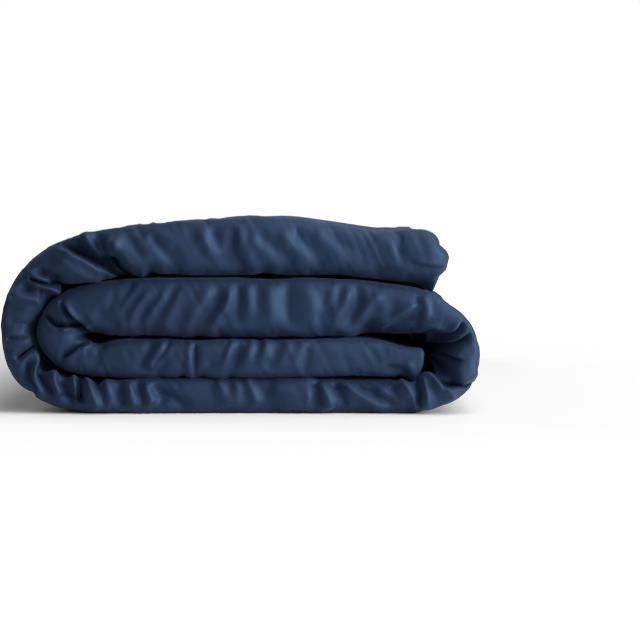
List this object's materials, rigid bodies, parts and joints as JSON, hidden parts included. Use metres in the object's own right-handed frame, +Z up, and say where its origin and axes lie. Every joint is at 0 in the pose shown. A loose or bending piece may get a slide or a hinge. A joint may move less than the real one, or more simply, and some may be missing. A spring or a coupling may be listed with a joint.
{
  "type": "folded duvet in its cover",
  "caption": "Filled duvet in a plain navy sateen cover, folded in half lengthways and rolled up flat, with soft creases along its long fold. It lies on a surface.",
  "frame": {"origin": "on the surface that the roll lies on, under the middle of the roll's box", "axes": "+X to the right along the layers, +Y from the long fold in front to the seamed edges at the back, +Z up through the layers"},
  "size_m": [0.4996, 0.694, 0.2042],
  "materials": {
    "sateen_cover": "navy cotton sateen with a soft sheen"
  },
  "bodies": {
    "root": {"duvet": "sateen_cover"}
  },
  "joints": []
}
